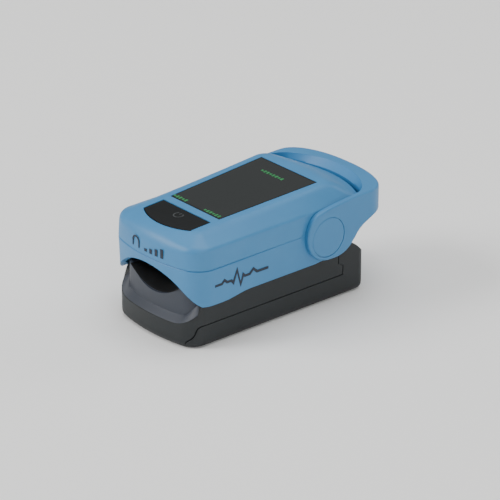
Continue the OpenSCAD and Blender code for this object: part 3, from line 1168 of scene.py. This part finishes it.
@dataclass
class RearGrip:
    """The U-shaped grip round the back, with its round arm ends and hinge caps."""

    band_centre: float = 52.2
    squareness: float = 0.89
    softness: float = 0.5
    front: float = 33.0
    axis_shift: float = 0.1
    seat_radius: float = 4.74
    seat_floor: float = 15.25

    def hollow(self, gap: float, steps: int) -> Outline:
        """Right half of the outline inside the grip, drawn in from the arms by a gap."""
        rear = RoundedEnd(SIZES.arm_inside - gap, SIZES.rear + 0.4, 26.4, 4.3, facing=-1, arc_steps=steps)
        return rear.half()

    def plan(self) -> Outline:
        """Outline of the grip seen from above, as [x, d] points."""
        reach = SIZES.length - self.band_centre
        outer = []
        for a in [math.pi * i / 64 for i in range(65)]:
            x = math.copysign(SIZES.arm_outside * abs(math.cos(a)) ** self.squareness, math.cos(a))
            outer.append((x, self.band_centre + reach * math.sin(a) ** self.squareness))
        hollow = self.hollow(0, 16)
        inner = [(-x, d) for x, d in hollow[:0:-1]] + hollow
        tips = [(-SIZES.arm_outside, self.front), (-SIZES.arm_inside, self.front)]
        return [(SIZES.arm_outside, self.front)] + outer + tips + inner + [(SIZES.arm_inside, self.front)]

    def side_view(self) -> Outline:
        """Side view of the grip, as [d, z] points."""
        lower = [(61, 19.4), (54.8, 19.1), (53.2, 18.75), (51.9, 18.15), (50.6, 17.55), (49.4, 16.75)]
        lower += [(48.5, 15.9), (47.8, 14.9)]
        round_end = arc(41.9, 18.36, 6.67, -38, -90, 12) + arc(40.2, 18.36, 6.67, -90, -215, 26)
        upper = [(35.6, 23.15), (36.7, 23.72), (38.2, 24.1), (39.9, 24.38)]
        upper += [(44, 24.85), (48.7, 25.25), (54, 25.3), (61, 25.15)]
        return lower + round_end + upper

    def build(self) -> None:
        """Builds the grip and its caps."""
        piece = BENCH.prism("press_bail_grip", self.plan(), 10, 26)
        BENCH.cut(piece, BENCH.prism("side_view", self.side_view(), -20, 20, Axis.X), Cut.INSIDE)
        BENCH.cut(piece, self.scoop())
        seat = (self.seat_floor, self.seat_floor + 3, self.seat_radius)
        BENCH.hinge_rods(piece, *seat, behind=self.axis_shift, sides=128)
        BENCH.hinge_rods(piece, 14, 17, SIZES.pin_radius, sides=48)
        self.round_grip(piece)
        BENCH.shade(piece)
        SHOP.hand_over(piece, BLUE_GRIP, Body.JAW, ["press_bail"])
        self.caps()

    def scoop(self) -> Piece:
        """Builds the crescent that is scooped out of the grip's inner upper edge."""
        half = self.hollow(0.02, 12)
        edge = half[::-1] + [(-x, d) for x, d in half[1:]]
        rings = []
        for grow, z in ((0.0, 23.7), (0.35, 24.0), (1.5, 25.0), (2.8, 26.2)):
            back = [row(x, d + grow * max(0.0, 1 - (x / 14) ** 2), z) for x, d in edge]
            rings.append(back + [row(edge[-1][0], 46, z), row(edge[0][0], 46, z)])
        return BENCH.loft("scoop", rings)

    def round_grip(self, piece: Piece) -> None:
        """Rounds the edges along the outside of the grip; those along its inside stay crisp.

        Args:
            piece: The grip.
        """
        BENCH.tidy(piece, 0.06)
        mesh = bmesh.new()
        mesh.from_mesh(piece.data)
        weight = mesh.edges.layers.float.new("bevel_weight_edge")
        reach = SIZES.length - self.band_centre
        for edge in mesh.edges:
            if len(edge.link_faces) != 2 or edge.calc_face_angle() < math.radians(30):
                continue
            middle = (edge.verts[0].co + edge.verts[1].co) / 2 / MM
            d = middle.y + SIZES.length / 2
            past = max(0.0, d - self.band_centre)
            outside = (middle.x / SIZES.arm_outside) ** 2 + (past / reach) ** 2 > 0.95
            from_axis = math.hypot(d - SIZES.hinge_d - self.axis_shift, middle.z - SIZES.hinge_z)
            edge[weight] = 1.0 if outside and from_axis > self.seat_radius + 0.06 else 0.0
        mesh.to_mesh(piece.data)
        mesh.free()
        BENCH.modify(piece, "BEVEL", width=self.softness * MM, segments=3, limit_method="WEIGHT")

    def caps(self) -> None:
        """Builds the two slightly domed hinge caps as one node."""
        edge = ((0.0, 4.66), (0.5, 4.66), (0.57, 4.62), (0.6, 4.5))
        dome = ((0.61, 4.0), (0.62, 3.0), (0.625, 1.8), (0.63, 0.4))
        d, z = SIZES.hinge_d + self.axis_shift, SIZES.hinge_z
        rings = []
        for rise, radius in edge + dome:
            x = self.seat_floor + 0.02 + rise
            rings.append([row(x, d + radius * math.cos(a), z + radius * math.sin(a)) for a in circle(96)])
        piece = BENCH.loft("pivot_cap_pair", rings)
        BENCH.cut(piece, BENCH.rod("socket", (15, SIZES.hinge_d, SIZES.hinge_z), 0.45, 1.55, Axis.X, 48))
        BENCH.mirror(piece)
        BENCH.shade(piece)
        SHOP.hand_over(piece, BLUE_GRIP, Body.JAW, ["pivot_caps"])


@dataclass
class Face:
    """Display lens, its lit segments, and the power button with its symbol."""

    window_front: float = 13.96
    window_back: float = 41.65
    window_front_half: float = 8.4
    window_back_half: float = 9.55
    button_half: float = 8.1
    button_back: float = 11.66
    button_corner: float = 6.05
    button_bulge: float = 2.4
    button_middle: float = 8.4

    def tilted(self, name: str, outline: Iterable[Pair], low: float, high: float) -> Piece:
        """Makes a prism that stands square on the sloped top face.

        Args:
            name: The solid's name.
            outline: [x, d] points in millimetres.
            low: Start height over the face.
            high: End height over the face.

        Returns:
            The prism.
        """
        points = list(outline)
        return BENCH.loft(name, [[on_top(x, d, rise) for x, d in points] for rise in (low, high)])

    def window_outline(self, grow: float) -> Outline:
        """Outline of the display lens, grown by a gap."""
        front, back = self.window_front_half + grow, self.window_back_half + grow
        low, high = self.window_front - grow, self.window_back + grow
        return [(front, low), (back, high), (-back, high), (-front, low)]

    def button_outline(self, grow: float) -> Outline:
        """Outline of the button, grown by a gap: a bulged front and a straight back."""
        radius = (self.button_half**2 + self.button_bulge**2) / (2 * self.button_bulge)
        spread = math.degrees(math.asin(self.button_half / radius))
        centre = self.button_corner - self.button_bulge + radius
        front = arc(0, centre, radius + grow, -90 - spread, -90 + spread, 32)
        half = self.button_half + grow
        return front + [(half, self.button_back + grow), (-half, self.button_back + grow)]

    def dash(self, x: float, d: float, width: float, depth: float, rise: float, top: float) -> Piece:
        """Makes one small flat bar on the top face.

        Args:
            x: Middle across.
            d: Middle along.
            width: Size across.
            depth: Size along.
            rise: Height of its underside over the face.
            top: Height of its top over the face.

        Returns:
            The bar.
        """
        w, h = width / 2, depth / 2
        outline = [(x - w, d - h), (x + w, d - h), (x + w, d + h), (x - w, d + h)]
        return self.tilted("dash", outline, rise, top)

    def segments(self) -> None:
        """Builds the lit segments: three rows of short bars, every third one lower."""
        pitch, width = 0.95, 0.62
        parts = []
        for x0, count, d in ((-8.0, 5, 14.9), (2.5, 6, 14.9), (-3.9, 8, 37.1)):
            for i in range(count):
                parts.append(self.dash(x0 + pitch * i, d, width, 0.95 if i % 3 else 0.6, 0.003, 0.03))
        SHOP.hand_over(BENCH.joined("display_segments", parts), SEGMENT, Body.JAW)

    def lens(self) -> None:
        """Builds the flush display lens."""
        piece = self.tilted("display_lens_plate", self.window_outline(0), -0.95, 0)
        BENCH.round_edges(piece, 0.12, 3, 32)
        SHOP.hand_over(piece, SCREEN, Body.JAW, ["display_window"])

    def button(self) -> None:
        """Builds the button, whose top is dished towards its middle."""
        outline = self.button_outline(0)
        sides = ((1.0, -1.3), (1.0, -0.22), (0.985, -0.05), (0.965, 0.0))
        dish = ((0.90, -0.02), (0.7, -0.10), (0.4, -0.17), (0.12, -0.19))
        rings = [
            [on_top(x * share, mix(self.button_middle, d, share), rise) for x, d in outline]
            for share, rise in sides + dish
        ]
        piece = BENCH.loft("power_button_key", rings)
        BENCH.shade(piece)
        SHOP.hand_over(piece, BUTTON, Body.BUTTON, ["power_button"])

    def symbol(self) -> None:
        """Builds the power symbol: an open ring and a bar."""
        middle, start, end = 9.3, -240, 60
        outline = arc(0, middle, 1.25, start, end, 40) + arc(0, middle, 0.97, end, start, 40)
        ring = self.tilted("ring", outline, -0.2, -0.14)
        bar = self.dash(0, 10.15, 0.28, 1.25, -0.2, -0.13)
        SHOP.hand_over(BENCH.joined("button_symbol", [ring, bar]), ICON_INK, Body.BUTTON)

    def build(self) -> None:
        """Builds everything on the top face."""
        self.lens()
        self.segments()
        self.button()
        self.symbol()


@dataclass
class Marks:
    """Plain printed marks in place of lettering: a pulse trace and a fingertip sign."""

    ink: float = 0.025
    sunk: float = 0.03

    def ribbon(self, line: Sequence[Pair], width: float) -> Outline:
        """Turns a line into the outline of a ribbon.

        Args:
            line: The line's points.
            width: The ribbon's width.

        Returns:
            The outline's points.
        """
        left, right = [], []
        for i, point in enumerate(line):
            here = Vector(point)
            before = Vector(line[max(i - 1, 0)])
            after = Vector(line[min(i + 1, len(line) - 1)])
            a = (here - before).normalized() if i else (after - here).normalized()
            b = (after - here).normalized() if i < len(line) - 1 else a
            normal = Vector((-(a + b).y, (a + b).x)).normalized()
            reach = width / 2 / max(0.45, normal.dot(Vector((-a.y, a.x))))
            left.append(tuple(here + normal * reach))
            right.append(tuple(here - normal * reach))
        return left + right[::-1]

    def pulse(self) -> None:
        """Prints a heartbeat trace low on the right side."""
        line = [(7.2, 14.9), (9.2, 14.9), (9.9, 15.6), (10.7, 14.9), (11.9, 14.9), (12.5, 14.2), (13.5, 17.0)]
        line += [(14.6, 13.2), (15.3, 15.4), (15.8, 14.9), (17.2, 14.9), (18.2, 15.9), (19.3, 14.9)]
        line += [(22.6, 14.9)]
        outline = self.ribbon(line, 0.62)
        rings = [[self.side_point(d, z, rise) for d, z in outline] for rise in (-self.sunk, self.ink)]
        SHOP.hand_over(BENCH.loft("side_pulse_mark", rings), NAVY_INK, Body.JAW)

    def side_point(self, d: float, z: float, rise: float) -> Point:
        """Gives a point a little outside the drawn-in right side of the skirt."""
        return row(SIZES.upper_half_width - skirt_draft(z) + rise, d, z)

    def front_point(self, x: float, z: float, rise: float) -> Point:
        """Gives a point a little in front of the curved front wall."""
        radius = SIZES.front_radius
        return row(x, radius - math.sqrt(radius**2 - x**2) - rise, z)

    def fingertip(self) -> None:
        """Prints a fingertip outline and four level bars on the front."""
        foot, width = 20.2, 0.85
        tip = [(-4.9, foot), (-4.9, 21.5)] + arc(-3.75, 21.5, 1.15, 180, 0, 14) + [(-2.6, foot)]
        shapes = [self.ribbon(tip, 0.42)]
        for i, tall in enumerate((0.7, 1.15, 1.65, 2.2)):
            x = -0.6 + 1.75 * i
            shapes.append([(x, foot), (x + width, foot), (x + width, foot + tall), (x, foot + tall)])
        parts = []
        for shape in shapes:
            rings = [[self.front_point(x, z, rise) for x, z in shape] for rise in (-self.sunk, self.ink)]
            parts.append(BENCH.loft("sign", rings))
        SHOP.hand_over(BENCH.joined("front_finger_mark", parts), NAVY_INK, Body.JAW)

    def build(self) -> None:
        """Prints all marks."""
        self.pulse()
        self.fingertip()


# ---------------------------------------------------------------------------
# Lower half
# ---------------------------------------------------------------------------


def smile(x: float) -> float:
    """Height of the nose's ledge, low in the middle and rising to the sides."""
    over = min(1.0, max(0.0, abs(x) - 7.3) / 6.3)
    return 5.6 + 4.4 * (1 - math.sqrt(1 - over**2))


@dataclass
class LowerHalf:
    """The black lower half: nose and side panels, and the sliding battery door."""

    fillet: float = 1.65
    wall: float = 1.3
    floor: float = 0.9
    groove_count: int = 6

    def rim(self, x: float, d: float) -> float:
        """Height of the tub's rim at a point of the outline."""
        climb = max(0.0, min(1.0, (d - 3.8) / 2.6))
        return mix(smile(x) - 0.1, SIZES.panel, climb**1.2)

    def tub(self) -> Piece:
        """Builds the whole lower half as one open tub with a rounded bottom edge."""
        outline = lower_plan(0)
        rings: list[Ring] = []
        for angle in [math.pi / 2 * i / 6 for i in range(7)]:
            inset = self.fillet * (1 - math.sin(angle))
            rings.append([row(x, d, self.fillet * (1 - math.cos(angle))) for x, d in lower_plan(inset)])
        for share in (0.5, 0.93):
            rings.append([row(x, d, mix(self.fillet, self.rim(x, d), share)) for x, d in outline])
        for inset, drop in ((0.0, 0.16), (0.05, 0.05), (0.18, 0.0)):
            ring = lower_plan(inset)
            rings.append([row(x, d, self.rim(ox, od) - drop) for (x, d), (ox, od) in zip(ring, outline)])
        lip = [row(x, d, self.rim(ox, od)) for (x, d), (ox, od) in zip(lower_plan(self.wall), outline)]
        rings.append(lip)
        rings.append([(x, y, self.floor * MM) for x, y, _ in lip])
        return BENCH.loft("lower_tub", rings)

    def roof(self) -> Piece:
        """Builds the roof over the rear of the battery bay."""
        front, rear = 36.4, SIZES.lower_rear
        profile = [(front, SIZES.bay_top), (front, 12.35), (front + 0.15, SIZES.panel), (rear, SIZES.panel)]
        profile += [(rear, 7.4), (52.2, 7.4), (52.2, 8.4), (49.2, SIZES.bay_top)]
        roof = BENCH.prism("roof", profile, -13.45, 13.45, Axis.X)
        return BENCH.cut(roof, BENCH.prism("plan", lower_plan(0.02), 0, 20), Cut.INSIDE)

    def whole(self) -> Piece:
        """Joins tub and roof and trims the slope at the back."""
        piece = BENCH.cut(self.tub(), self.roof(), Cut.JOINED)
        slope = [(48.5, 12.52), (49.2, 12.35), (50.2, 11.6), (52.9, 9.0), (53.4, 8.3), (53.62, 7.6)]
        slope += [(56, 7.6), (56, 16), (48.5, 16)]
        return BENCH.cut(piece, BENCH.prism("slope", slope, -20, 20, Axis.X))

    def door_profile(self, gap: float) -> Outline:
        """Side view of the battery door, shrunk by a gap, as [d, z] points."""
        s_curve = [(2.0, 1.5), (2.35, 1.95), (2.85, 2.5), (3.25, 3.1), (3.5, 3.75), (3.7, 4.4), (4.05, 4.95)]
        s_curve += [(4.6, 5.22), (5.4, SIZES.seam)]
        front = [(2.0 + gap, -1)] + [(d + gap, z - gap) for d, z in s_curve]
        step = [(46.2, SIZES.seam - gap), (46.3, 7.6), (45.9, 8.05), (44.9, 8.35), (44.9, 14)]
        return front + [(d + gap, z) for d, z in step] + [(60, 14), (60, -1)]

    def housing(self) -> None:
        """Builds the nose, ledge and side panels with the hinge ears."""
        piece = self.whole()
        BENCH.cut(piece, BENCH.prism("door_room", self.door_profile(-0.2), -20, 20, Axis.X))
        BENCH.cut(piece, BENCH.prism("floor_room", lower_plan(self.wall + 0.02), -1, 5))
        ear_inside, ear_outside = 11.6, 13.2
        for low, high in (
            ((11.7, 8, 5.5), (12.4, 44.6, 6.2)),
            ((10.3, 7.5, 9.2), (12.4, 10.5, 10.15)),
            ((ear_inside, 37, 11.7), (ear_outside, 42, SIZES.hinge_z)),
        ):
            BENCH.side_slabs(piece, low, high, Cut.JOINED)
        BENCH.hinge_rods(piece, ear_inside, ear_outside, 2.8, Cut.JOINED)
        BENCH.hinge_rods(piece, 11, 14, 1.55, sides=48)
        BENCH.upright_rods(piece, SIZES.bed_screw_x, SIZES.bed_screw_d, 5, 11, 0.6, sides=32)
        BENCH.round_edges(piece, 0.12, 2)
        piece.name = piece.data.name = "lower_housing_shell"
        SHOP.hand_over(piece, BLACK, Body.BASE, ["lower_housing"])

    def door(self) -> None:
        """Builds the battery door: tray, rear block, rails, grip grooves and arrow."""
        piece = self.whole()
        BENCH.cut(piece, BENCH.prism("door_shape", self.door_profile(0), -20, 20, Axis.X), Cut.INSIDE)
        for low, high in (((10.75, 10, 0.5), (11.4, 46.5, 7.1)), ((11.3, 10, 6.4), (11.95, 46.5, 7.1))):
            BENCH.side_slabs(piece, low, high, Cut.JOINED)
        for i in range(self.groove_count):
            d = 40.2 + 1.7 * i
            half = 6.5 - 0.55 * abs(i - (self.groove_count - 1) / 2)
            BENCH.cut(piece, BENCH.slab("groove", (-half, d, -1), (half, d + 0.8, 0.3)))
        arrow = [(-2.2, 36.2), (0, 38.8), (2.2, 36.2), (2.2, 35.2), (0, 37.7), (-2.2, 35.2)]
        BENCH.cut(piece, BENCH.prism("arrow", arrow, -1, 0.25))
        BENCH.round_edges(piece, 0.12, 2)
        piece.name = piece.data.name = "battery_door_tray"
        SHOP.hand_over(piece, BLACK, Body.DOOR, ["battery_door"])

    def build(self) -> None:
        """Builds both pieces."""
        self.housing()
        self.door()


@dataclass
class FingerRest:
    """The grey finger bed and the two soft pads."""

    bed_top: float = 14.0
    hollow_top: float = 10.2
    pad_thickness: float = 0.5
    pad_front: float = 2.35
    pad_back: float = 34.4
    flare: Sequence[Pair] = (
        (-0.5, 1.75), (1.0, 1.35), (2.0, 1.05), (3.0, 0.75), (4.5, 0.35), (6.5, 0.0), (7.5, -0.1),
    )

    def bed(self) -> None:
        """Builds the bed with its round channel and finger stop."""
        shoulder = ((0.0, 0.7), (0.12, 0.3), (0.4, 0.05), (0.75, 0.0))
        levels = [(0.0, SIZES.seam)] + [(inset, self.bed_top - drop) for inset, drop in shoulder]
        rings = [[row(x, d, z) for x, d in bed_plan(inset)] for inset, z in levels]
        piece = BENCH.loft("finger_bed_block", rings)
        # A grey sheet over the black ledge paints the highlight that the ledge catches.
        BENCH.cut(piece, self.ledge_highlight_sheet(), Cut.JOINED)
        stop = [(-7, 12.5), (-7, 15.6)] + arc(-5.4, 15.6, 1.6, 180, 90, 6) + arc(5.4, 15.6, 1.6, 90, 0, 6)
        BENCH.cut(piece, BENCH.prism("stop", stop + [(7, 12.5)], 34.6, 36.28, Axis.Y), Cut.JOINED)
        hollow = [(x, max(2.5, d)) for x, d in bed_plan(0.6)]
        BENCH.cut(piece, BENCH.prism("hollow", hollow, 4, self.hollow_top))
        BENCH.cut(piece, BENCH.slab("open_rear", (-13, 6.2, 4), (13, 40, self.hollow_top)))
        for x in (-5.35, 5.35):
            BENCH.cut(piece, BENCH.rod("cell_room", (x, 4.0, 6.25), 40, 5.33, Axis.Y))
        BENCH.upright_rods(piece, SIZES.bed_screw_x, SIZES.bed_screw_d, 5, 12.4, 0.6, sides=32)
        start = (0, -1, SIZES.channel_axis)
        BENCH.cut(piece, BENCH.rod("channel", start, 35.6, SIZES.channel_radius, Axis.Y, 192))
        BENCH.cut(piece, self.mouth())
        BENCH.cut(piece, BENCH.rod("light", (0, SIZES.sensor_d, 5), 10, 1.9, Axis.Z, 48))
        BENCH.round_edges(piece, 0.3)
        SHOP.hand_over(piece, GREY, Body.BASE, ["finger_bed"])

    def ledge_highlight_sheet(self) -> Piece:
        """Builds the sloped grey sheet that lies on the nose's ledge; its slope catches real light, and its
        grey, lighter than the black nose, is painted highlight.
        """
        section = [(0.13, -0.09), (0.12, -0.04), (0.4, 0.2), (1.1, 0.78), (1.75, 1.35), (2.3, 1.5)]
        section += [(2.3, -0.09)]
        plans = [(lower_plan(inset), rise) for inset, rise in section]
        outline = lower_plan(0)
        last = max(i for i, (x, d) in enumerate(outline) if x > 0 and d < 5.2)
        turn = range(-last, last + 1)
        rings = [[row(*plan[i], smile(outline[i][0]) + rise) for plan, rise in plans] for i in turn]
        return BENCH.loft("ledge_highlight_sheet", rings)

    def mouth(self) -> Piece:
        """Builds the flare that widens the channel towards its mouth."""
        middle = SIZES.channel_axis
        rings = []
        for d, grow in self.flare:
            radius = SIZES.channel_radius + grow
            rings.append([row(radius * math.cos(a), d, middle + radius * math.sin(a)) for a in circle(192)])
        return BENCH.loft("mouth", rings)

    def lower_pad(self) -> None:
        """Builds the thin lining of the channel, which follows the flare at its mouth."""
        flare = [(d, grow) for d, grow in self.flare if self.pad_front < d < 7]
        rings = []
        for d, grow in [(self.pad_front, 0.935)] + flare + [(self.pad_back, 0.0)]:
            outer = SIZES.channel_radius + grow - 0.02
            inner = outer - min(self.pad_thickness, 0.08 + 0.1 * (d - self.pad_front))
            spread = math.degrees(math.acos((SIZES.channel_axis - 13.7) / outer))
            under = arc(0, SIZES.channel_axis, outer, -90 - spread, -90 + spread, 40)
            over = arc(0, SIZES.channel_axis, inner, -90 + spread, -90 - spread, 40)
            rings.append([row(x, d, z) for x, z in under + over])
        piece = BENCH.loft("lower_pad_lining", rings)
        BENCH.cut(piece, BENCH.rod("light", (0, SIZES.sensor_d, 5), 10, 2.4, Axis.Z, 64))
        reach = SIZES.channel_radius - self.pad_thickness + 0.16
        for d in (8.5, 11.5, 24.5, 27.5, 30.5):
            BENCH.cut(piece, BENCH.rod("groove", (0, d, SIZES.channel_axis), 0.7, reach, Axis.Y, 200))
        BENCH.round_edges(piece, 0.12, 2)
        SHOP.hand_over(piece, PAD, Body.BASE, ["lower_finger_pad"])

    def upper_pad(self) -> None:
        """Builds the arched pad over the finger."""
        front = RoundedEnd(12.9, 1.9, 39, 3.6)
        rear = RoundedEnd(12.9, 34, 400, 0.6, facing=-1)
        piece = BENCH.prism("upper_pad_arch", full_plan(front, rear), 14.4, 18.47)
        BENCH.cut(piece, BENCH.rod("arch", (0, -1, 3.3), 40, 14.6, Axis.Y, 192))
        BENCH.cut(piece, BENCH.rod("light", (0, SIZES.sensor_d, 10), 12, 3, Axis.Z, 64))
        BENCH.upright_rods(piece, SIZES.screw_x, SIZES.screw_front, 10, 22, 1.9, sides=48)
        BENCH.round_edges(piece, 0.35)
        SHOP.hand_over(piece, PAD, Body.JAW, ["upper_finger_pad"])

    def build(self) -> None:
        """Builds the bed and both pads."""
        self.bed()
        self.lower_pad()
        self.upper_pad()


class Insides:
    """Finishes of the CAD pieces that keep their shape."""

    finishes: Mapping[str, Finish] = {
        "detector_window": TINT,
        "emitter_window": TINT,
        "photodiode": CHIP,
        "light_emitter": PALE,
        "processor_chip": CHIP,
        "tact_switch": CHIP,
        "switch_plunger": PALE,
        "sensor_board": GREEN_BOARD,
        "emitter_board": GREEN_BOARD,
        "main_board": GREEN_BOARD,
        "display_module": SCREEN,
        "flex_cable": AMBER,
        "battery_cell_left": CELL,
        "battery_cell_right": CELL,
        "front_contacts": NICKEL,
        "bridge_contact": NICKEL,
        "bed_screws": STEEL,
        "cover_screws": STEEL,
        "hinge_pins": STEEL,
        "torsion_springs": STEEL,
    }

    def build(self) -> None:
        """Coats each piece."""
        for name, finish in self.finishes.items():
            SHOP.coat(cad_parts[name], finish)
            LOG.info("%s: %s", name, finish.name)


# ---------------------------------------------------------------------------
# Studio
# ---------------------------------------------------------------------------


@dataclass
class Studio:
    """Pale floor, soft lights and the camera."""

    azimuth: float = 49.5
    elevation: float = 24.79
    distance: float = 0.7057
    lens: float = 225.3
    aim: Point = (0.0, 0.0, 0.01538)
    drop: float = 0.00343
    floor_colour: Colour = (0.985, 0.985, 0.98)
    sky_strength: float = 0.3
    lights: Sequence[tuple[str, Point, float, float]] = field(
        default_factory=lambda: (
            ("key", (-0.62, -0.95, 0.72), 0.55, 11.5),
            ("fill", (0.95, -0.30, 0.50), 0.7, 3.6),
            ("sky", (0.0, 0.1, 1.1), 0.9, 8.0),
            ("rim", (0.25, 0.9, 0.5), 0.5, 1.5),
        )
    )

    def floor(self) -> None:
        """Lays a wide plain floor."""
        BENCH.clear()
        bpy.ops.mesh.primitive_plane_add(size=60, location=(0, 0, 0))
        ground = bpy.context.object
        ground.name = "floor"
        paint = Paint("pale_floor")
        tone = paint.noise(1.5, 2)
        pale = linear(self.floor_colour)
        paint.link("Base Color", paint.blend(tone, pale, linear(tuple(c * 0.99 for c in self.floor_colour))))
        paint.fix(Roughness=0.9)
        ground.data.materials.append(paint.material)

    def light(self, name: str, place: Point, size: float, power: float) -> None:
        """Hangs a soft square light that faces the object.

        Args:
            name: Its name.
            place: Where it hangs.
            size: Length of its side.
            power: Its power in watts.
        """
        bpy.ops.object.light_add(type="AREA", location=place)
        lamp = bpy.context.object
        lamp.name = name
        lamp.data.size = size
        lamp.data.energy = power
        lamp.rotation_euler = (Vector(place) - Vector(self.aim)).to_track_quat("Z", "Y").to_euler()

    def world(self) -> None:
        """Surrounds the scene with even white light."""
        world = bpy.data.worlds.new("studio")
        world.use_nodes = True
        background = world.node_tree.nodes["Background"]
        background.inputs["Color"].default_value = (1.0, 1.0, 1.0, 1.0)
        background.inputs["Strength"].default_value = self.sky_strength
        bpy.context.scene.world = world

    def camera(self) -> None:
        """Stands the camera in front, to the right and a little above."""
        a, e = math.radians(self.azimuth), math.radians(self.elevation)
        back = Vector((math.sin(a) * math.cos(e), -math.cos(a) * math.cos(e), math.sin(e)))
        turn = back.to_track_quat("Z", "Y")
        up = turn @ Vector((0, 1, 0))
        bpy.ops.object.camera_add(location=Vector(self.aim) + back * self.distance - up * self.drop)
        camera = bpy.context.object
        camera.rotation_euler = turn.to_euler()
        camera.data.lens = self.lens
        camera.data.sensor_width = 36.0
        camera.data.clip_start = 0.01
        bpy.context.scene.camera = camera

    def build(self) -> None:
        """Sets the whole studio up."""
        self.floor()
        self.world()
        for name, place, size, power in self.lights:
            self.light(name, place, size, power)
        self.camera()


def main() -> None:
    """Builds the studio, then the object from its shells inwards."""
    logging.basicConfig(level=logging.INFO, format="%(name)s %(message)s")
    for part in (Studio(), UpperShells(), RearGrip(), Face(), Marks(), LowerHalf(), FingerRest(), Insides()):
        part.build()
        LOG.info("%s done", type(part).__name__)


if __name__ == "__main__":
    main()
